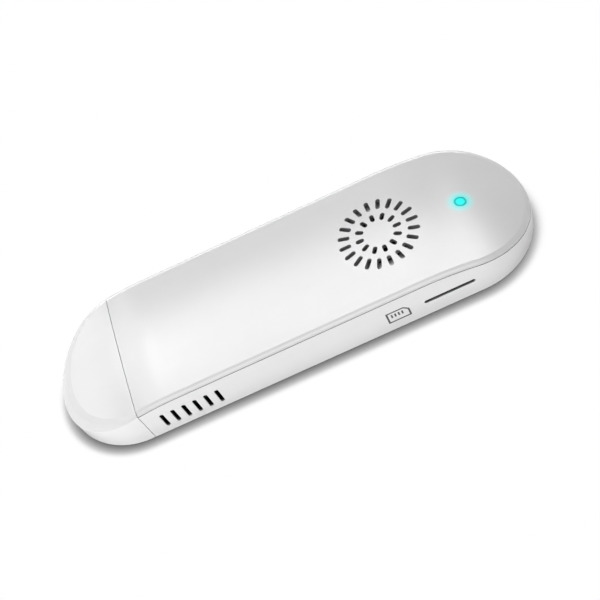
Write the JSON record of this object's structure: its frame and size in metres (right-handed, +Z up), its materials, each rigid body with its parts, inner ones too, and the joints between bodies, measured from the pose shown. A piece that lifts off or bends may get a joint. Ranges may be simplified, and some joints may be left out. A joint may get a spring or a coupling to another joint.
{
  "type": "hdmi stick computer",
  "caption": "White stick computer with round falling ends, pull-off cap over its video plug, blower under a radial grille, side vents, card slot, ports and status light.",
  "frame": {"origin": "middle of the flat underside, on the surface the stick lies on, with the cap on", "axes": "+X along the stick from the capped plug to the round end with the light, -Y the side with vents and card slot, +Z up out of the crowned top"},
  "size_m": [0.115, 0.034, 0.0121],
  "materials": {
    "case_white": "fine matt moulded surface",
    "cover_white": "satin moulded surface",
    "cap_white": "satin moulded surface",
    "button_white": "fine matt moulded surface",
    "port_steel": "nickel plated sheet",
    "contact_gold": "gold plated",
    "insulator_black": "moulded",
    "board_green": "solder mask",
    "chip_black": "moulded package",
    "pad_grey": "soft pad",
    "sink_aluminium": "extruded",
    "fan_black": "moulded",
    "lid_steel": "thin sheet",
    "magnet_grey": "bonded magnet",
    "shaft_steel": "ground",
    "bearing_bronze": "sintered sleeve",
    "stator_copper": "wound copper",
    "screw_steel": "zinc plated",
    "inductor_grey": "pressed powder",
    "capacitor_tan": "ceramic",
    "radio_blue": "solder mask",
    "antenna_ceramic": "ceramic",
    "led_lens": "clear lens over a cyan light",
    "pipe_cyan": "clear moulded light guide"
  },
  "bodies": {
    "case": {"lower_case": "case_white", "top_cover": "cover_white", "hdmi_shell": "port_steel", "hdmi_insulator": "insulator_black", "hdmi_contacts": "contact_gold", "main_board": "board_green", "processor": "chip_black", "thermal_pad": "pad_grey", "heat_sink": "sink_aluminium", "fan_frame": "fan_black", "fan_lid": "lid_steel", "fan_bearing": "bearing_bronze", "fan_stator": "stator_copper", "fan_screws": "screw_steel", "board_screws": "screw_steel", "memory_chips": "chip_black", "storage_chip": "chip_black", "power_chip": "chip_black", "inductors": "inductor_grey", "capacitors": "capacitor_tan", "crystal": "port_steel", "wifi_module": "radio_blue", "wifi_shield": "port_steel", "chip_antenna": "antenna_ceramic", "card_base": "insulator_black", "card_shell": "port_steel", "card_contacts": "contact_gold", "usb_shell": "port_steel", "usb_tongue": "insulator_black", "usb_contacts": "contact_gold", "micro_shell": "port_steel", "micro_tongue": "insulator_black", "micro_contacts": "contact_gold", "power_switch": "port_steel", "status_led": "led_lens", "light_pipe": "pipe_cyan"},
    "cap": {"hdmi_cap": "cap_white"},
    "rotor": {"fan_rotor": "fan_black", "rotor_magnet": "magnet_grey", "fan_shaft": "shaft_steel"},
    "button": {"power_button": "button_white", "switch_plunger": "fan_black"}
  },
  "joints": [
    {"name": "cap_pull", "type": "slide", "parent": "case", "child": "cap", "axis": [-1, 0, 0], "range_m": [0, 0.018]},
    {"name": "blower_spin", "type": "hinge", "parent": "case", "child": "rotor", "pos_m": [0.0241, 0, 0.008], "axis": [0, 0, 1], "continuous": true},
    {"name": "power_press", "type": "slide", "parent": "case", "child": "button", "axis": [0, -1, 0], "range_m": [0, 0.00035], "stiffness_N_per_m": 2000}
  ]
}
